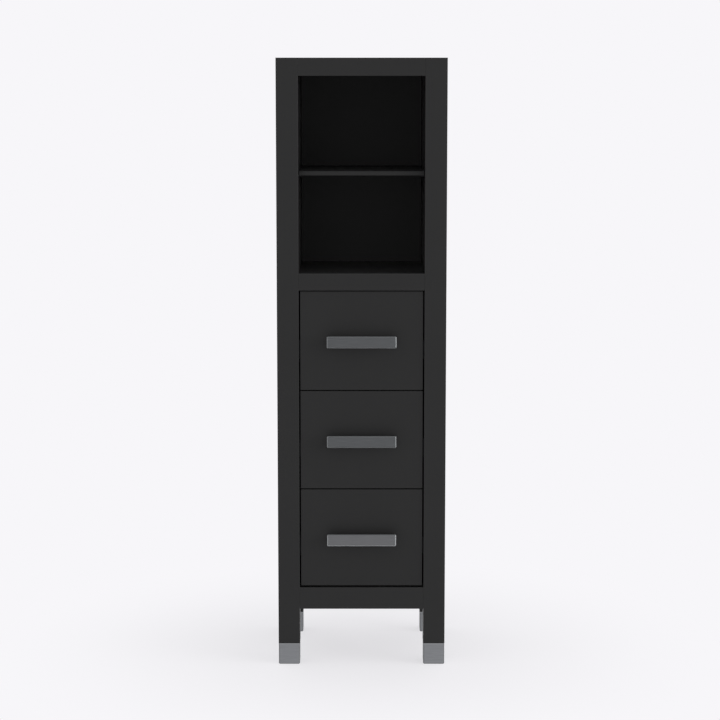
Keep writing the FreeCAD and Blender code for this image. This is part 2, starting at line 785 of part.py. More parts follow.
def box_end(name, end, low):
    """The front or back board of the box."""
    y = "Place.box_front" if end == "front" else "Place.box_front + Place.box_deep - Size.box_thick"
    body = new_body(f"{name}_drawer_box_{end}", "-Place.box_wide / 2", y, f"{low} + Size.box_rise")
    add_box(body, "board", ("0", "0", "0"), ("Place.box_wide", "Size.box_thick", "Place.box_tall"))
    land = "Size.box_thick - Size.base_groove"
    base_groove(body, (land, land if end == "front" else "0"), "x", f"Place.box_wide - 2 * ({land})")
    if end == "front":
        screw_holes(body, "Place.box_wide / 2", "Size.box_rise", "Size.box_thick", "Size.box_thick")
    fingers(body, (("0", "0"), ("Place.box_wide - Size.box_thick", "0")), "0")
    return kept(body)


def drawer_base(name, low):
    """The thin board that lies in the four grooves."""
    edge = "(Size.box_thick - Size.base_groove + Size.joint_play)"
    body = new_body(f"{name}_drawer_base", f"-Place.box_wide / 2 + {edge}", f"Place.box_front + {edge}",
                    f"{low} + Size.box_rise + Size.base_rise")
    add_box(body, "board", ("0", "0", "0"),
            (f"Place.box_wide - 2 * {edge}", f"Place.box_deep - 2 * {edge}", "Size.base_thick"))
    return kept(body)


def pull(name, low):
    """A flat bar with rounded corners and a bevelled face, on two round posts."""
    body = new_body(f"{name}_drawer_pull", "-Size.pull_long / 2", "Place.front - Place.reach",
                    f"{low} + Place.pull_up - Size.pull_tall / 2")
    long, tall = "Size.pull_long", "Size.pull_tall"
    face = outline(body, "face", "XZ_Plane", [("0", "0"), (long, "0"), (long, tall), ("0", tall)])
    bar = pad(body, face, "Size.pull_thick", backwards=True)
    rounded = soften(body, "Fillet", bar, "Size.pull_round", along="y")
    soften(body, "Chamfer", rounded, "Place.pull_chamfer", low="y")
    for sign in ("-", "+"):
        x = f"(Size.pull_long {sign} Place.pull_span) / 2"
        leg = body.newObject("PartDesign::AdditiveCylinder", "leg")
        turn(leg, (1, 0, 0), -90)
        put(leg, x, "Size.pull_thick / 2", "Size.pull_tall / 2")
        leg.setExpression("Radius", "Size.pull_post_radius")
        leg.setExpression("Height", "Size.pull_stand - Size.pull_thick / 2")
        bite = "Size.pull_screw_bite + Size.screw_play"
        thread_spot = (x, f"Size.pull_stand - ({bite})", "Size.pull_tall / 2")
        cut_hole(body, "thread", thread_spot, "y", "Size.pull_screw_radius + Size.screw_play", bite)
    return kept(body)


def drawer_screws(name, low):
    """The two pull screws and the two that hold the front, all from inside the box."""
    members = []
    z = f"{low} + Place.pull_up"
    for master, head, span in (
        (pull_screw, "Size.pull_screw_head_tall", "Place.pull_span"),
        (front_screw, "Size.front_screw_head_tall", "Place.front_screw_span"),
    ):
        y = f"Place.box_front + Size.box_thick + {head}"
        for sign in ("-", "+"):
            members.append(copy_of(master, f"{sign}{span} / 2", y, z, (1, 0, 0), 90))
    return kept(group(f"{name}_drawer_screws", members))


for name, low in drawer_lows.items():
    drawer_front(name, low)
    pull(name, low)
    drawer_screws(name, low)
    drawer_base(name, low)
    for hand in ("left", "right"):
        box_side(name, hand, low)
    for end in ("front", "back"):
        box_end(name, end, low)
    for label, master in (("inner", inner_runner), ("middle", middle_set)):
        members = [on_wall(master, hand, runner_centres[name]) for hand in walls]
        kept(group(f"{name}_drawer_{label}_runners", members))

doc.recompute()

# Nothing is written unless every object and every sub-part is sound
for thing in doc.Objects:
    faults = [state for state in thing.State if state in ("Invalid", "Error")]
    if faults:
        raise RuntimeError(f"{thing.Label} is {faults}")

for label, piece in nodes.items():
    shape = piece.Shape
    if shape.isNull() or not shape.isValid() or not shape.Solids:
        raise RuntimeError(f"{label} has no sound solid")

os.makedirs("parts", exist_ok=True)
for label, piece in nodes.items():
    piece.Shape.exportStep(f"parts/{label}.step")

whole = Part.makeCompound([piece.Shape for piece in nodes.values()]).BoundBox
print(f"{len(nodes)} sub-parts, {sum(len(piece.Shape.Solids) for piece in nodes.values())} solids")
print(f"X {whole.XMin:.2f} to {whole.XMax:.2f}, Y {whole.YMin:.2f} to {whole.YMax:.2f}, "
      f"Z {whole.ZMin:.2f} to {whole.ZMax:.2f}")
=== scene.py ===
# %% [markdown]
# A slim, tall cabinet in satin black, with an open upper part, three drawers with flat metal pulls,
# and metal caps on its four feet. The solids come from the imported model, which is the fixed frame here.
# This file gives them their finishes, adds the small pieces that only show from close by, and sets up
# the floor, the light and the camera.

import json
import math

import bmesh
import bpy
from mathutils import Matrix, Vector


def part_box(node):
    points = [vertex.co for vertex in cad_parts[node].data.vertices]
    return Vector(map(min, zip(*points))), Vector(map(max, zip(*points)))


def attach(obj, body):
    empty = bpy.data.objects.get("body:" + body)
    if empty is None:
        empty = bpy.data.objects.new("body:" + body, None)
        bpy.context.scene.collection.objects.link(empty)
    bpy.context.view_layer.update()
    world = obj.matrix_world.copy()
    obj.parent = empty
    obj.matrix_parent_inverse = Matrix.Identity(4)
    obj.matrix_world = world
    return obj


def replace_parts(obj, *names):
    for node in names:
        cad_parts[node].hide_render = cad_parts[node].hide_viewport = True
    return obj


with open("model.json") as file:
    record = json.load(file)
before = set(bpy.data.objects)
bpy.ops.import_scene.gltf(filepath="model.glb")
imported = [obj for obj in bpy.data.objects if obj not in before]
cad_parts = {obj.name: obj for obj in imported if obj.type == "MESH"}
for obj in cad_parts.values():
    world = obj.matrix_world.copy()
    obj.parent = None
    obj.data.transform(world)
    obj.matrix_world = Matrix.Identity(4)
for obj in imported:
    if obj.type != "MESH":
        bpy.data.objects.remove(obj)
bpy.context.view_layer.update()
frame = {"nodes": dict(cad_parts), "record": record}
nodes = frame["nodes"]

# %% [markdown]
# Sizes are written in millimetres, because that is how a cabinet maker thinks of them, and turned to
# Blender's metres by one factor. Colours are written as sRGB hex values, as they are read off a photograph.
# Cycles works in linear light, so one function turns them over, with the numbers of the sRGB standard.

# %% Units and colours
mm = 0.001


def linear(code):
    """An sRGB hex colour as linear RGBA."""
    parts = [int(code[start:start + 2], 16) / 255 for start in (1, 3, 5)]
    lit = [part / 12.92 if part <= 0.04045 else ((part + 0.055) / 1.055) ** 2.4 for part in parts]
    return (*lit, 1.0)


print("mid grey in linear light:", [round(part, 3) for part in linear("#808080")])

# %% [markdown]
# A material is a small network of nodes. It could be wired by hand in the shader editor. In code, one
# helper fills a node's inputs: a value that is an output of another node is linked, anything else is
# typed in. A second one adds a node and fills it, and a third starts a material with its shader.
# Patterns follow each point's place on the piece, so they have a real size and stay put when a drawer
# opens.

# %% Helpers for nodes


def fill(tree, node, values):
    """Link or type in a node's inputs, by name or number."""
    for key, value in values.items():
        if isinstance(value, bpy.types.NodeSocket):
            tree.links.new(value, node.inputs[key])
        else:
            node.inputs[key].default_value = value


def add_node(tree, kind, inputs=None, **settings):
    """Add one node with its settings and inputs."""
    node = tree.nodes.new(kind)
    for name, value in settings.items():
        setattr(node, name, value)
    fill(tree, node, inputs or {})
    return node


def new_material(name):
    """A fresh material with its tree, its shader and the place of each point on the piece."""
    material = bpy.data.materials.new(name)
    material.use_nodes = True
    tree = material.node_tree
    tree.nodes.clear()
    shader = add_node(tree, "ShaderNodeBsdfPrincipled")
    add_node(tree, "ShaderNodeOutputMaterial", {"Surface": shader.outputs["BSDF"]})
    place = add_node(tree, "ShaderNodeTexCoord").outputs["Object"]
    return material, tree, shader, place


print("helpers ready")

# %% [markdown]
# Edges tell what a thing is made of. Every board here has its sharp edges eased, and metal has them
# ground, so a thin line along each one has a tone of its own, which on the paints and the metals also
# carries painted highlights and painted shade. It could be painted by hand, or found with a bevel shader.
# Here the solids have real roundings and bevels, and all their flat faces look along an axis. So a face
# that looks along none of them is an edge, and that is enough.

# %% Find the eased edges
flat_from = 0.995
edge_from = 0.93


def eased_edge(tree):
    """0 on flat faces, 1 on rounded and bevelled edges."""
    facing = add_node(tree, "ShaderNodeTexCoord").outputs["Normal"]
    sizes = add_node(tree, "ShaderNodeVectorMath", {0: facing}, operation="ABSOLUTE")
    parts = add_node(tree, "ShaderNodeSeparateXYZ", {0: sizes.outputs["Vector"]}).outputs
    most = add_node(tree, "ShaderNodeMath", {0: parts["X"], 1: parts["Y"]}, operation="MAXIMUM")
    most = add_node(tree, "ShaderNodeMath", {0: most.outputs["Value"], 1: parts["Z"]}, operation="MAXIMUM")
    return add_node(tree, "ShaderNodeMapRange", {
        "Value": most.outputs["Value"], "From Min": flat_from, "From Max": edge_from}).outputs["Result"]


print("a face whose normal is over", flat_from, "of an axis counts as flat")

# %% [markdown]
# The cabinet is solid wood and board under sprayed paint. The legs, rails, sides and top wear a satin
# lacquer: a very dark grey, which looks lighter where it mirrors the pale room. The drawer fronts and the
# shelf have the same lacquer, a shade darker. The back panel and the bottom board have a thin, matt coat.
# The boards that line the open part are smoother, so along them one sees mostly a dim mirror image of the
# dark back, and their tone is darker, a painted shade for the dim inside. The inner sides of the posts get
# the same kind of painted shade: their tone is darker beside the opening.
#
# Spraying leaves a stipple about a millimetre across, like fine orange peel, which breaks the mirror image
# up. It is a bump, because its height is a few hundredths of a millimetre, too little to be worth real
# geometry. A second, broad pattern lets tone and gloss drift with the thickness of the coat, so that no
# board is one flat value. On the eased edges of the frame the coat is thin, and their lighter tone is
# partly that and partly a painted highlight. On the eased edges of the drawer fronts and the shelf the tone
# is
# darker: a painted shade along the gaps beside them.

# %% Sprayed paint
stipple_size = 1.1 * mm
stipple_high = 0.05 * mm
stipple_strength = 0.5
stipple_detail = 2.0
thick_coat_size = 160 * mm
thick_coat_detail = 3.0
paint_gloss_drift = 0.05
paint_ior = 1.5
opening_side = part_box("front_right_post")[0].x
# The darker tone beside the opening, a painted shade, blends in over this width.
inner_shade_blend = 0.7 * mm


def sprayed_paint(name, colour, deeper, edges, shine, roughness, inner=None):
    """Paint with a stipple, and a tone and gloss that drift. Inner is a darker tone beside the opening, a
    painted shade.
    """
    material, tree, shader, place = new_material(name)
    stipple = add_node(tree, "ShaderNodeTexNoise", {
        "Vector": place, "Scale": 1 / stipple_size, "Detail": stipple_detail})
    coat = add_node(tree, "ShaderNodeTexNoise", {
        "Vector": place, "Scale": 1 / thick_coat_size, "Detail": thick_coat_detail})
    tone = add_node(tree, "ShaderNodeMix", {
        "Factor": coat.outputs["Fac"], "A": linear(deeper), "B": linear(colour)}, data_type="RGBA")
    tone = add_node(tree, "ShaderNodeMix", {
        "Factor": eased_edge(tree), "A": tone.outputs["Result"], "B": linear(edges)}, data_type="RGBA")
    # Faces beside the opening, the posts' inner sides, get a darker tone here: a painted shade.
    if inner:
        across = add_node(tree, "ShaderNodeSeparateXYZ", {0: place}).outputs["X"]
        out = add_node(tree, "ShaderNodeMath", {0: across}, operation="ABSOLUTE")
        painted_shade_inside = add_node(tree, "ShaderNodeMapRange", {
            "Value": out.outputs["Value"], "From Min": opening_side + inner_shade_blend, "From Max": opening_side})
        tone = add_node(tree, "ShaderNodeMix", {
            "Factor": painted_shade_inside.outputs["Result"], "A": tone.outputs["Result"], "B": linear(inner)},
            data_type="RGBA")
    gloss = add_node(tree, "ShaderNodeMapRange", {
        "Value": coat.outputs["Fac"],
        "To Min": roughness + paint_gloss_drift, "To Max": roughness - paint_gloss_drift})
    bump = add_node(tree, "ShaderNodeBump", {
        "Height": stipple.outputs["Fac"], "Strength": stipple_strength, "Distance": stipple_high})
    fill(tree, shader, {
        "Base Color": tone.outputs["Result"], "Roughness": gloss.outputs["Result"],
        "Normal": bump.outputs["Normal"], "IOR": paint_ior, "Specular IOR Level": shine})
    return material


satin = {"shine": 0.12, "roughness": 0.45}
# The lighter tone on the eased edges is partly a thin coat and partly a painted highlight.
satin_lacquer = sprayed_paint("satin black lacquer", "#2c2c2c", "#292929", edges="#3b3b3b", **satin)
# The posts' inner sides are darker: a painted shade.
post_lacquer_shaded_inside = sprayed_paint(
    "satin black lacquer, posts", "#2c2c2c", "#292929", edges="#3b3b3b", inner="#222222", **satin)
# The fronts' darker edge tone is a painted shade along the gaps.
front_lacquer_shaded_edges = sprayed_paint("satin black lacquer, fronts", "#2b2b2b", "#282828", edges="#212121", **satin)
matt_coat = sprayed_paint(
    "thin matt black paint", "#353535", "#313131", edges="#363636", shine=0.1, roughness=0.7)
# The lining's darker tone is a painted shade for the dim inside of the open part.
lining_coat_painted_shade = sprayed_paint(
    "smooth black paint", "#282828", "#242424", edges="#2c2c2c", shine=0.5, roughness=0.3)
print("made paints for the frame, posts, fronts, back and lining")

# %% [markdown]
# Brushed metal and wood have the same kind of pattern: fine one way and drawn out the other way, as a
# scratch or a fibre is. It could be an image, but a noise works on every face and at any distance. It is
# made by squeezing the place of each point by a different real size along each axis.

# %% Draw a pattern out along an axis


def drawn_out(tree, place, wide, long, along, **noise):
    """A noise whose marks are wide across and long along the named axes."""
    squeeze = [1 / (long if axis in along else wide) for axis in "XYZ"]
    squeezed = add_node(tree, "ShaderNodeVectorMath", {0: place, 1: squeeze}, operation="MULTIPLY")
    return add_node(tree, "ShaderNodeTexNoise", {
        "Vector": squeezed.outputs["Vector"], "Scale": 1.0, **noise}).outputs["Fac"]


print("patterns can be drawn out along X, Y or Z")

# %% [markdown]
# The pulls and the feet are brushed metal. Brushing leaves fine scratches that all run one way, so the
# reflection is stretched across them. Real ones are about a tenth of a millimetre wide. They are drawn
# coarser here, so that they still show in the picture.
#
# The pulls are brushed nickel, brushed along their length. Their bevels were ground last and are brighter,
# partly from that and partly as a painted highlight, the lower one most, as a painted reflection of the
# pale floor. The feet are brushed stainless steel. A foot is brushed round, so its scratches are long both
# ways across and fine only up and down. Its edges are darker than its faces, a painted shade that also
# stands for the contact shadow at its bottom, and its top rim, where the leg goes in, has a painted
# highlight.

# %% Brushed metals
scratch_wide = 0.35 * mm
scratch_long = 30 * mm
scratch_deep = 0.02 * mm
scratch_strength = 0.2
scratch_detail = 4.0
scratch_faint, scratch_clear = 0.3, 0.7
scratch_gloss_swing = 0.06
bevel_up, bevel_down = 0.5, -0.5
rim_highlight_wide = 2.5 * mm
foot_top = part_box("front_left_foot")[1].z


def brushed_metal(name, colour, brighter, upper, lower, along, roughness, rim=None):
    """Metal brushed along some axes, with painted highlight and painted shade as tones on its upper and
    lower edges, and a painted highlight on its rim.
    """
    material, tree, shader, place = new_material(name)
    scratches = drawn_out(tree, place, scratch_wide, scratch_long, along, Detail=scratch_detail)
    streaks = add_node(tree, "ShaderNodeMapRange", {
        "Value": scratches, "From Min": scratch_faint, "From Max": scratch_clear})
    tone = add_node(tree, "ShaderNodeMix", {
        "Factor": streaks.outputs["Result"], "A": linear(colour), "B": linear(brighter)}, data_type="RGBA")
    # Eased edges take the upper tone, and those that face down the lower one: on the pulls a painted
    # highlight and a painted reflection of the floor, on the feet a painted shade.
    facing = add_node(tree, "ShaderNodeTexCoord").outputs["Normal"]
    facing_up = add_node(tree, "ShaderNodeSeparateXYZ", {0: facing}).outputs["Z"]
    under = add_node(tree, "ShaderNodeMapRange", {
        "Value": facing_up, "From Min": bevel_up, "From Max": bevel_down})
    edges = add_node(tree, "ShaderNodeMix", {
        "Factor": under.outputs["Result"], "A": linear(upper), "B": linear(lower)}, data_type="RGBA")
    tone = add_node(tree, "ShaderNodeMix", {
        "Factor": eased_edge(tree), "A": tone.outputs["Result"], "B": edges.outputs["Result"]},
        data_type="RGBA")
    # The bright band at the rim is a painted highlight.
    if rim:
        height = add_node(tree, "ShaderNodeSeparateXYZ", {0: place}).outputs["Z"]
        on_rim_highlight = add_node(tree, "ShaderNodeMapRange", {
            "Value": height, "From Min": foot_top - rim_highlight_wide, "From Max": foot_top - rim_highlight_wide / 2})
        tone = add_node(tree, "ShaderNodeMix", {
            "Factor": on_rim_highlight.outputs["Result"], "A": tone.outputs["Result"], "B": linear(rim)},
            data_type="RGBA")
    gloss = add_node(tree, "ShaderNodeMapRange", {
        "Value": scratches,
        "To Min": roughness - scratch_gloss_swing, "To Max": roughness + scratch_gloss_swing})
    bump = add_node(tree, "ShaderNodeBump", {
        "Height": scratches, "Strength": scratch_strength, "Distance": scratch_deep})
    fill(tree, shader, {
        "Base Color": tone.outputs["Result"], "Roughness": gloss.outputs["Result"],
        "Normal": bump.outputs["Normal"], "Metallic": 1.0})
    return material


# The nickel's brighter bevel tones are partly ground bevels, partly a painted highlight, and the lower one
# a painted reflection of the floor.
brushed_nickel = brushed_metal(
    "brushed nickel", "#525455", "#656768", upper="#6d6f70", lower="#909293", along="X", roughness=0.4)
# The lowest pull's paler tones are a painted reflection of the floor close below it.
floor_reflection_nickel = brushed_metal(
    "brushed nickel, painted floor reflection", "#626364", "#757677", upper="#6e7071", lower="#b6b8b9", along="X",
    roughness=0.4)
# The feet's darker edge tone is painted shade, which also darkens their bottom edge like a contact shadow;
# their rim tone is a painted highlight.
brushed_steel = brushed_metal(
    "brushed stainless steel", "#787a7c", "#8b8d8f", upper="#6e7071", lower="#6e7071", along="XY",
    roughness=0.42, rim="#929495")
print("made", brushed_nickel.name, ",", floor_reflection_nickel.name, "and", brushed_steel.name)

# %% [markdown]
# Screws are steel with a thin coat of zinc, which is pale, a little blue and faintly cloudy. The drawer
# runners and the shelf pins have the same coat blackened, so that they vanish beside the dark boards. Both
# are plain metals here, with a noise for the clouds: the crystals of real zinc are far too fine to show.
# Between a runner's channels roll bare steel balls, which are bright. They could be pieces of their own,
# but the channels are all flat faces and the balls have none, so what finds an eased edge finds them too.

# %% Zinc-plated steel
zinc_cloud_size = 5 * mm
zinc_cloud_detail = 4.0
zinc_gloss_swing = 0.05


def zinc_plate(name, colour, brighter, roughness, balls=None):
    """Plated steel with faint clouds, and the tone of the bare steel balls in it, if it has any."""
    material, tree, shader, place = new_material(name)
    clouds = add_node(tree, "ShaderNodeTexNoise", {
        "Vector": place, "Scale": 1 / zinc_cloud_size, "Detail": zinc_cloud_detail})
    tone = add_node(tree, "ShaderNodeMix", {
        "Factor": clouds.outputs["Fac"], "A": linear(colour), "B": linear(brighter)}, data_type="RGBA")
    if balls:
        tone = add_node(tree, "ShaderNodeMix", {
            "Factor": eased_edge(tree), "A": tone.outputs["Result"], "B": linear(balls)}, data_type="RGBA")
    gloss = add_node(tree, "ShaderNodeMapRange", {
        "Value": clouds.outputs["Fac"],
        "To Min": roughness - zinc_gloss_swing, "To Max": roughness + zinc_gloss_swing})
    fill(tree, shader, {
        "Base Color": tone.outputs["Result"], "Roughness": gloss.outputs["Result"], "Metallic": 1.0})
    return material


zinc_steel = zinc_plate("zinc-plated steel", "#8a8e92", "#a8acb0", roughness=0.34)
black_zinc_steel = zinc_plate("black zinc-plated steel", "#2a2a2c", "#38383a", roughness=0.4)
ball_runner_steel = zinc_plate(
    "black zinc-plated steel with bright balls", "#2a2a2c", "#38383a", roughness=0.34, balls="#c0c2c4")
print("made", zinc_steel.name, ",", black_zinc_steel.name, "and", ball_runner_steel.name)

# %% [markdown]
# The drawer boxes are lacquered birch plywood: thin veneers glued crosswise. Its faces show pale wood with
# a fine grain along the board and broad, watery waves. Its edges show the veneers themselves, pale with
# the grain and brown across it.

# %% The sizes and colours of birch plywood
veneer_thick = 1.3 * mm
grain_wide = 1.4 * mm
grain_long = 90 * mm
grain_high = 0.05 * mm
grain_strength = 0.3
grain_noise = {"Detail": 5.0, "Roughness": 0.6}
figure_wide = 22 * mm
figure_long = 260 * mm
figure_noise = {"Detail": 3.0, "Distortion": 1.2}
pore_from, pore_to, pore_most = 0.35, 0.75, 0.45
veneer_pale_to, veneer_brown_from = 0.4, 0.6
birch_pale, birch_tan, birch_pore = "#dcc39c", "#c9a877", "#a98553"
veneer_pale, veneer_brown = "#d2b588", "#8d6a41"
varnish = {"Roughness": 0.42, "IOR": 1.5, "Specular IOR Level": 0.4}
print("veneers of", round(veneer_thick / mm, 1), "mm")

# %% [markdown]
# Each board is given the axis that runs through its thickness: a face points along it, and an edge points
# another way. The veneers are a wave along that axis. They could be a stack of thin solids, but one wave
# cuts every edge of a board in the same planes, as the saw does. Blender's wave runs through its angle 20
# times faster than the place that it is given, so its scale is worked out from that and the thickness of
# one pale and one brown layer.

# %% Birch plywood
wave_speed = 20
face_from = 0.5


def birch_ply(name, through, along):
    """Plywood whose thickness runs along one axis and whose face grain runs along another."""
    material, tree, shader, place = new_material(name)
    grain = drawn_out(tree, place, grain_wide, grain_long, along, **grain_noise)
    figure = drawn_out(tree, place, figure_wide, figure_long, along, **figure_noise)
    waves = add_node(tree, "ShaderNodeMix", {
        "Factor": figure, "A": linear(birch_pale), "B": linear(birch_tan)}, data_type="RGBA")
    pores = add_node(tree, "ShaderNodeMapRange", {
        "Value": grain, "From Min": pore_from, "From Max": pore_to, "To Min": 0.0, "To Max": pore_most})
    face = add_node(tree, "ShaderNodeMix", {
        "Factor": pores.outputs["Result"], "A": waves.outputs["Result"], "B": linear(birch_pore)},
        data_type="RGBA")
    layers = add_node(tree, "ShaderNodeTexWave", {
        "Vector": place, "Scale": 2 * math.pi / (wave_speed * 2 * veneer_thick)},
        bands_direction=through, wave_profile="SIN")
    across = add_node(tree, "ShaderNodeMapRange", {
        "Value": layers.outputs["Fac"], "From Min": veneer_pale_to, "From Max": veneer_brown_from})
    edge = add_node(tree, "ShaderNodeMix", {
        "Factor": across.outputs["Result"], "A": linear(veneer_pale), "B": linear(veneer_brown)},
        data_type="RGBA")
    facing = add_node(tree, "ShaderNodeTexCoord").outputs["Normal"]
    sides = add_node(tree, "ShaderNodeSeparateXYZ", {"Vector": facing})
    size = add_node(tree, "ShaderNodeMath", {0: sides.outputs[through]}, operation="ABSOLUTE")
    is_face = add_node(tree, "ShaderNodeMath", {
        0: size.outputs["Value"], 1: face_from}, operation="GREATER_THAN")
    wood = add_node(tree, "ShaderNodeMix", {
        "Factor": is_face.outputs["Value"], "A": edge.outputs["Result"], "B": face.outputs["Result"]},
        data_type="RGBA")
    bump = add_node(tree, "ShaderNodeBump", {
        "Height": grain, "Strength": grain_strength, "Distance": grain_high})
    fill(tree, shader, {"Base Color": wood.outputs["Result"], "Normal": bump.outputs["Normal"], **varnish})
    return material


ply_sides = birch_ply("lacquered birch ply, sides", through="X", along="Y")
ply_ends = birch_ply("lacquered birch ply, ends", through="Y", along="X")
ply_base = birch_ply("lacquered birch ply, base", through="Z", along="X")
print("made", ply_sides.name, ",", ply_ends.name, "and", ply_base.name)

# %% [markdown]
# Every solid carries the name of its finish in the imported record. One loop reads it and puts the material
# on the solid's own slots. Some solids need a variant, which their names choose: plywood boards that lie
# another way, the drawer fronts and the shelf, which were sprayed apart and came out a shade darker, with
# edges darkened as a painted shade, the posts with their inner sides darkened as a painted shade, the
# boards that line the open part, darkened as a painted shade, the runners that hold the balls, and the
# lowest pull, made paler as a painted reflection of the floor close below it.

# %% Give each node its finish
finishes = {
    "black_paint": satin_lacquer,
    "matt_black_board": matt_coat,
    "brushed_nickel": brushed_nickel,
    "brushed_steel_feet": brushed_steel,
    "zinc_steel": zinc_steel,
    "black_zinc_steel": black_zinc_steel,
    "birch_ply": ply_sides,
}
special = {
    "_box_front": ply_ends,
    "_box_back": ply_ends,
    "_base": ply_base,
    "_drawer_front": front_lacquer_shaded_edges,
    "shelf": front_lacquer_shaded_edges,
    "_post": post_lacquer_shaded_inside,
    "_liner": lining_coat_painted_shade,
    "divider": lining_coat_painted_shade,
    "bottom_drawer_pull": floor_reflection_nickel,
    "_middle_runners": ball_runner_steel,
}
slots = {part["node"]: part["material_slot"] for part in frame["record"]["subparts"]}


def dress(node, material):
    """Put one material on every slot of a node's object."""
    for slot in nodes[node].material_slots:
        slot.link = "OBJECT"
        slot.material = material


for node, slot in slots.items():
    chosen = [material for ending, material in special.items() if node.endswith(ending)]
    dress(node, chosen[0] if chosen else finishes[slot])
print(len(slots), "nodes dressed")

# %% [markdown]
# A new piece starts as points, edges and faces in a bmesh, which is Blender's workbench for shapes. It is
# then written to a mesh, and an object puts the mesh into the scene. Two helpers do that here.

# %% Helpers for new pieces
weld_gap = 0.001 * mm


def finished_mesh(name, shape):
    """Write a bmesh to a new mesh and let it go."""
    mesh = bpy.data.meshes.new(name)
    shape.to_mesh(mesh)
    shape.free()
    return mesh


def add_object(name, data):
    """Put a mesh, a lamp or a camera into the scene."""
    thing = bpy.data.objects.new(name, data)
    bpy.context.scene.collection.objects.link(thing)
    return thing


print("points closer than", round(weld_gap / mm, 4), "mm are welded")

# %% [markdown]
# Screws are what the eye looks for inside an open drawer: two run through the box front into the pull, and
# two more hold the drawer front. One more goes up into each leg through its foot. The frame has them as
# plain pins with flat heads. Up close, a real one has a domed head. Its profile is spun round an axis
# here, as on a lathe: that needs a few points, where a sculpted head would need many.

# %% Turn a screw blank
shank_share = 0.45
head_tall_share = 0.58
dome_share = 0.6
dome_steps = 6
turn_steps = 32


def screw_blank(radius, long):
    """A domed head on a shank with a point, its top at the origin and facing +Z."""
    tall = radius * head_tall_share
    shank = radius * shank_share
    angles = [math.pi / 2 * step / dome_steps for step in range(dome_steps + 1)]
    profile = [(radius * math.sin(angle), tall * dome_share * (math.cos(angle) - 1)) for angle in angles]
    profile += [(radius, -tall), (shank, -tall), (shank, shank - long), (0, -long)]
    lathe = bmesh.new()
    points = [lathe.verts.new((out, 0, up)) for out, up in profile]
    edges = [lathe.edges.new(pair) for pair in zip(points, points[1:])]
    bmesh.ops.spin(
        lathe, geom=points + edges, cent=(0, 0, 0), axis=(0, 0, 1), steps=turn_steps, angle=2 * math.pi)
    bmesh.ops.remove_doubles(lathe, verts=lathe.verts, dist=weld_gap)
    bmesh.ops.recalc_face_normals(lathe, faces=lathe.faces)
    return add_object("blank", finished_mesh("blank", lathe))


print("a screw head is turned in", turn_steps, "steps")

# %% [markdown]
# The cross in a screw head is made with a punch whose tip narrows, so its walls slope and a driver wedges
# tight in it. The punch is one outline drawn three times: well above the head, at its top, and smaller at
# the floor of the recess.

# %% Make the punch for the cross
cross_reach_share = 0.52
cross_wide_share = 0.13
cross_deep_share = 0.4
cross_floor_share = 0.55


def cross_punch(radius):
    """The solid that a cross recess is cut with: a cross that narrows downwards."""
    reach, wide = radius * cross_reach_share, radius * cross_wide_share
    quarter = [Vector((reach, -wide)), Vector((reach, wide)), Vector((wide, wide))]
    outline = [Matrix.Rotation(math.pi / 2 * turn, 2) @ corner for turn in range(4) for corner in quarter]
    punch = bmesh.new()
    rings = [[punch.verts.new((corner.x * share, corner.y * share, up)) for corner in outline]
             for share, up in ((1.0, radius), (1.0, 0), (cross_floor_share, -radius * cross_deep_share))]
    for upper, lower in zip(rings, rings[1:]):
        for here in range(len(outline)):
            punch.faces.new((upper[here - 1], upper[here], lower[here], lower[here - 1]))
    punch.faces.new(rings[0])
    punch.faces.new(rings[-1])
    bmesh.ops.recalc_face_normals(punch, faces=punch.faces)
    return add_object("punch", finished_mesh("punch", punch))


print("the cross is", cross_deep_share, "of the head's radius deep")

# %% [markdown]
# The punch is cut out of the blank with a boolean modifier, whose result is kept as a mesh. A bump could
# only darken the cross, while light falls into a real one from every side. Faces that meet at a small angle
# are shaded as one smooth dome, and the edges of the cross stay sharp. Removing a mesh takes away the
# object that shows it too, so one line clears both the blank and the punch.

# %% Cut the cross
crease_angle = 35


def cross_screw(radius, long):
    """The mesh of a cross-head screw of this head radius and length."""
    blank, punch = screw_blank(radius, long), cross_punch(radius)
    cut = blank.modifiers.new("cross", "BOOLEAN")
    cut.object = punch
    cut.solver = "EXACT"
    mesh = bpy.data.meshes.new_from_object(blank.evaluated_get(bpy.context.evaluated_depsgraph_get()))
    mesh.shade_smooth()
    mesh.set_sharp_from_angle(angle=math.radians(crease_angle))
    for used in (blank, punch):
        bpy.data.meshes.remove(used.data)
    return mesh


print("edges over", crease_angle, "degrees stay sharp")

# %% [markdown]
# The frame says where each screw is: every separate solid in a screw node is one. The solids are told apart
# by walking from point to point along their edges, until no new point is reached. They are then put in
# order by place, because a set hands its points out in another order on each run.

# %% Find the solids of a node


def solids_of(node):
    """The lowest and highest corner of each separate solid of a node."""
    shape = bmesh.new()
    shape.from_mesh(nodes[node].data)
    bmesh.ops.remove_doubles(shape, verts=shape.verts, dist=weld_gap)
    left = set(shape.verts)
    boxes = []
    while left:
        reached = [left.pop()]
        for point in reached:
            for edge in point.link_edges:
                other = edge.other_vert(point)
                if other in left:
                    left.remove(other)
                    reached.append(other)
        corners = [[pick(point.co[axis] for point in reached) for axis in range(3)] for pick in (min, max)]
        boxes.append((Vector(corners[0]), Vector(corners[1])))
    shape.free()
    return sorted(boxes, key=lambda box: tuple(box[0]))


print("the feet are held by", len(solids_of("foot_screws")), "screws")

# %% [markdown]
# The screws of one node are joined into one piece, which rides on the node's body. They could stay objects
# of their own, but they never move apart. Each is made facing up at the origin, then turned and moved to
# its spot.

# %% Fit screws


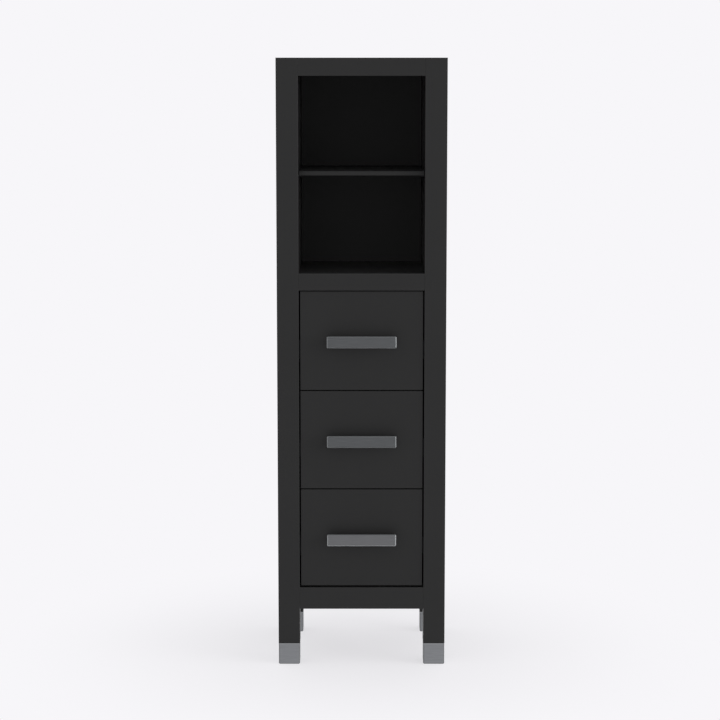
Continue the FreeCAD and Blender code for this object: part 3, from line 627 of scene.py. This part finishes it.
def fit_screws(name, body, spots):
    """Join screws into one piece. Each spot is a head's top, the way it faces, its radius and length."""
    joined = bmesh.new()
    for top, facing, radius, long in spots:
        first = len(joined.verts)
        screw = cross_screw(radius, long)
        joined.from_mesh(screw)
        bpy.data.meshes.remove(screw)
        joined.verts.ensure_lookup_table()
        turned = Vector(facing).to_track_quat("Z", "Y").to_matrix().to_4x4()
        bmesh.ops.transform(joined, matrix=Matrix.Translation(top) @ turned, verts=joined.verts[first:])
    piece = add_object(name, finished_mesh(name, joined))
    piece.data.materials.append(zinc_steel)
    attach(piece, body)
    print(name, "has", len(spots), "screws and", len(piece.data.polygons), "faces")
    return piece


print("each screw is", zinc_steel.name)

# %% [markdown]
# The box of a plain pin gives its middle line, its head's radius and its length. The heads of the foot
# screws look down, and those in the drawers look back into the box. The new screws replace the pins.

# %% Put the screws in their holes
rows = ("top", "middle", "bottom")

spots = []
for low, high in solids_of("foot_screws"):
    middle = (low + high) / 2
    top = Vector((middle.x, middle.y, low.z))
    spots.append((top, (0, 0, -1), (high.x - low.x) / 2, high.z - low.z))
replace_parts(fit_screws("foot_cross_screws", "cabinet", spots), "foot_screws")

for row in rows:
    spots = []
    for low, high in solids_of(f"{row}_drawer_screws"):
        middle = (low + high) / 2
        top = Vector((middle.x, high.y, middle.z))
        spots.append((top, (0, 1, 0), (high.x - low.x) / 2, high.y - low.y))
    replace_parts(fit_screws(f"{row}_drawer_cross_screws", f"{row}_drawer", spots), f"{row}_drawer_screws")

# %% [markdown]
# Each inner channel is screwed to its box side in three places. The heads sit in the channel, on its web,
# and face the cabinet's wall. They are small and flat enough to pass the middle channel. Only what shows
# of them is made: the head and a stub that ends in the sheet metal.

# %% Screw the runners to the boxes
runner_sheet = 1.2 * mm
runner_head_radius = 2.9 * mm
runner_stub_long = 2.6 * mm
runner_screw_shares = (0.12, 0.5, 0.9)

for row in rows:
    spots = []
    for low, high in solids_of(f"{row}_drawer_inner_runners"):
        side = 1 if low.x > 0 else -1
        web = low.x + runner_sheet if side > 0 else high.x - runner_sheet
        top = web + side * runner_head_radius * head_tall_share
        for share in runner_screw_shares:
            spot = Vector((top, low.y + (high.y - low.y) * share, (low.z + high.z) / 2))
            spots.append((spot, (side, 0, 0), runner_head_radius, runner_stub_long))
    fit_screws(f"{row}_drawer_runner_screws", f"{row}_drawer", spots)

# %% [markdown]
# A white studio is brighter than white paper. So the floor and the world show one backdrop colour, at
# strength 1, to whatever looks straight at them: the camera, and the rays that metal and glass send out.
# The light that they cast on matt surfaces is set apart from it. Blender's light path tells which ray asks.

# %% What looks straight at the backdrop
backdrop = "#f7f6f9"
as_written = 1.0


def seen_straight(tree, rays):
    """1 for the rays of the camera, mirrors and glass, and 0 for rays that only bring light."""
    seen = add_node(tree, "ShaderNodeMath", {
        0: rays["Is Camera Ray"], 1: rays["Is Glossy Ray"]}, operation="MAXIMUM")
    seen = add_node(tree, "ShaderNodeMath", {
        0: seen.outputs["Value"], 1: rays["Is Transmission Ray"]}, operation="MAXIMUM")
    return seen.outputs["Value"]


print("the backdrop is", backdrop)

# %% [markdown]
# The cabinet stands on a plain, pale floor that runs into a pale backdrop with no seam. A big disc takes
# the shadow. Near the cabinet it is a matt white that shades under it. Further off, what the camera sees
# of it turns slowly into the backdrop's own colour, so that its rim can't be made out. Metal sees only the
# backdrop's colour in it, near and far, so that no dark patch shows in the feet. What light does on it
# stays the same everywhere.

# %% The floor
floor_reach = 9.0
floor_sides = 96
floor_paint = {"Base Color": linear("#f6f5f8"), "Roughness": 0.9, "Specular IOR Level": 0.1}
shadow_near = 0.25
shadow_far = 0.9
near_share = 0.68

disc = bmesh.new()
bmesh.ops.create_circle(disc, cap_ends=True, segments=floor_sides, radius=floor_reach)
floor = add_object("floor", finished_mesh("floor", disc))

material, tree, shader, place = new_material("matt white floor")
fill(tree, shader, floor_paint)
away = add_node(tree, "ShaderNodeVectorMath", {0: place}, operation="LENGTH")
share = add_node(tree, "ShaderNodeMapRange", {
    "Value": away.outputs["Value"], "From Min": shadow_near, "From Max": shadow_far,
    "To Min": near_share, "To Max": 1.0}, interpolation_type="SMOOTHSTEP")
rays = add_node(tree, "ShaderNodeLightPath").outputs
share = add_node(tree, "ShaderNodeMath", {
    0: share.outputs["Result"], 1: rays["Is Glossy Ray"]}, operation="MAXIMUM")
fade = add_node(tree, "ShaderNodeMath", {
    0: share.outputs["Value"], 1: seen_straight(tree, rays)}, operation="MULTIPLY")
glow = add_node(tree, "ShaderNodeEmission", {"Color": linear(backdrop), "Strength": as_written})
mixed = add_node(tree, "ShaderNodeMixShader", {
    0: fade.outputs["Value"], 1: shader.outputs["BSDF"], 2: glow.outputs["Emission"]})
output = next(node for node in tree.nodes if node.type == "OUTPUT_MATERIAL")
fill(tree, output, {"Surface": mixed.outputs["Shader"]})
floor.data.materials.append(material)
print("floor of", floor_reach, "m radius")

# %% [markdown]
# The light of a studio with white walls comes from all round. A world of one plain colour gives it. The
# camera and mirrors see the backdrop's colour, and matt surfaces are lit a little less, which leaves room
# for the lamp.

# %% The world
fill_level = 0.81

world = bpy.data.worlds.new("studio")
bpy.context.scene.world = world
world.use_nodes = True
tree = world.node_tree
tree.nodes.clear()
rays = add_node(tree, "ShaderNodeLightPath").outputs
room = add_node(tree, "ShaderNodeBackground", {"Color": linear("#ffffff"), "Strength": fill_level})
shown = add_node(tree, "ShaderNodeBackground", {"Color": linear(backdrop), "Strength": as_written})
mixed = add_node(tree, "ShaderNodeMixShader", {
    0: seen_straight(tree, rays), 1: room.outputs["Background"], 2: shown.outputs["Background"]})
add_node(tree, "ShaderNodeOutputWorld", {"Surface": mixed.outputs["Shader"]})
print("world fill at", fill_level)

# %% [markdown]
# One big soft lamp, such as a low window, stands far off to the right, a little in front and hardly above
# the floor. The photograph shows it by the bright right ends of the pulls, the darker right edges of the
# drawers, which the posts shade, and a floor that is darkest under the cabinet. A sun lamp with a wide disc
# does this: it is as strong on the floor as at the top, and its shadows are blurred. It is kept weak, so
# that the pale plywood on its side isn't burnt out when a drawer is open. A lamp or a camera looks straight
# down until it is turned, and a quarter turn makes it look level.

# %% The lamp
level = 90
lamp_round = 75
lamp_up = 8
lamp_strength = 1.9
lamp_wide = 50

lamp_data = bpy.data.lights.new("window lamp", "SUN")
lamp_data.energy = lamp_strength
lamp_data.angle = math.radians(lamp_wide)
lamp = add_object("window lamp", lamp_data)
lamp.rotation_euler = (math.radians(level - lamp_up), 0, math.radians(lamp_round))
print("lamp at", lamp_round, "degrees round and", lamp_up, "up")

# %% [markdown]
# The camera stands where the photographer's did: well back, as high as the cabinet's top, and tilted down.
# Its place was fitted to the outlines of legs, rails, drawers and feet in the photograph. The focal length
# is given in pixels of the 720-pixel picture, and turned to millimetres on the camera's sensor.

# %% The camera
photo_width = 720
focal_pixels = 2070
sensor_wide = 36
camera_pitch = 8.0
camera_away = 4851 * mm
camera_height = 1423.7 * mm
camera_across = -3.8 * mm
front_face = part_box("top_rail")[0].y

camera_data = bpy.data.cameras.new("camera")
camera_data.sensor_width = sensor_wide
camera_data.lens = focal_pixels / photo_width * sensor_wide
camera = add_object("camera", camera_data)
camera.location = (camera_across, front_face - camera_away, camera_height)
camera.rotation_euler = (math.radians(level - camera_pitch), 0, 0)
bpy.context.scene.camera = camera
bpy.context.scene.view_settings.view_transform = "Standard"
print("camera", round(camera_away, 3), "m from the front, lens", round(camera_data.lens, 1), "mm")
